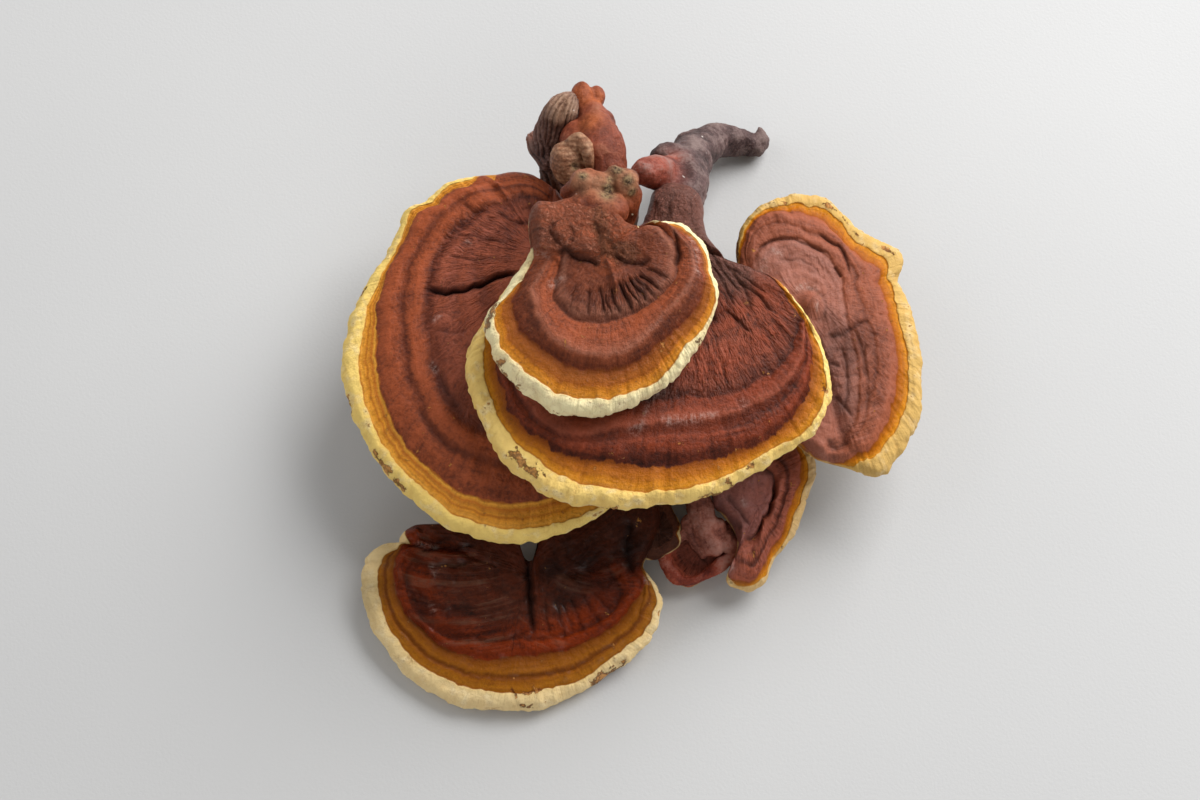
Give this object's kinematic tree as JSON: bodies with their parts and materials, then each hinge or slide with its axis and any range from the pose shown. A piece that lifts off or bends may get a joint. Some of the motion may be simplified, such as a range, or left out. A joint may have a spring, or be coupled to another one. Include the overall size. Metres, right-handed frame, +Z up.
{
  "type": "dried reishi mushroom",
  "caption": "Dried reishi mushroom cluster: tiers of fan-shaped brown caps with pale cream rims, grown together on knobby woody stipes.",
  "frame": {"origin": "middle of the cluster's bounding box, on the table it lies on", "axes": "+Z up through the tiers of caps; -Y towards the low front fan that the viewer is nearest to; +X to the viewer's right"},
  "size_m": [0.1957, 0.2121, 0.0815],
  "materials": {
    "upper_cap": "satin red-brown lacquered skin, amber band and pale cream margin",
    "middle_cap": "satin red-brown lacquered skin, amber band and pale cream margin",
    "left_cap": "satin red-brown lacquered skin, amber band and pale cream margin",
    "right_cap": "satin red-brown lacquered skin, amber band and pale cream margin",
    "lower_left_cap": "dark red-brown lacquered skin, two-tone amber band and pale cream margin",
    "lower_right_cap": "purplish brown skin with a thin yellow margin",
    "small_cap": "purplish brown skin with a reddish margin",
    "base_stipe": "greyish purple-brown bark, satin",
    "upper_stipe": "dusty tan and brown knobs with a crusty pit",
    "knob_stem": "reddish brown knobs, dusty tan in places, on a dark stem",
    "right_stem": "greyish purple-brown bark, satin"
  },
  "bodies": {
    "root": {"upper_cap": "upper_cap", "middle_cap": "middle_cap", "left_cap": "left_cap", "right_cap": "right_cap", "lower_left_cap": "lower_left_cap", "lower_right_cap": "lower_right_cap", "small_cap": "small_cap", "base_stipe": "base_stipe", "upper_stipe": "upper_stipe", "knob_stem": "knob_stem", "right_stem": "right_stem"}
  },
  "joints": []
}
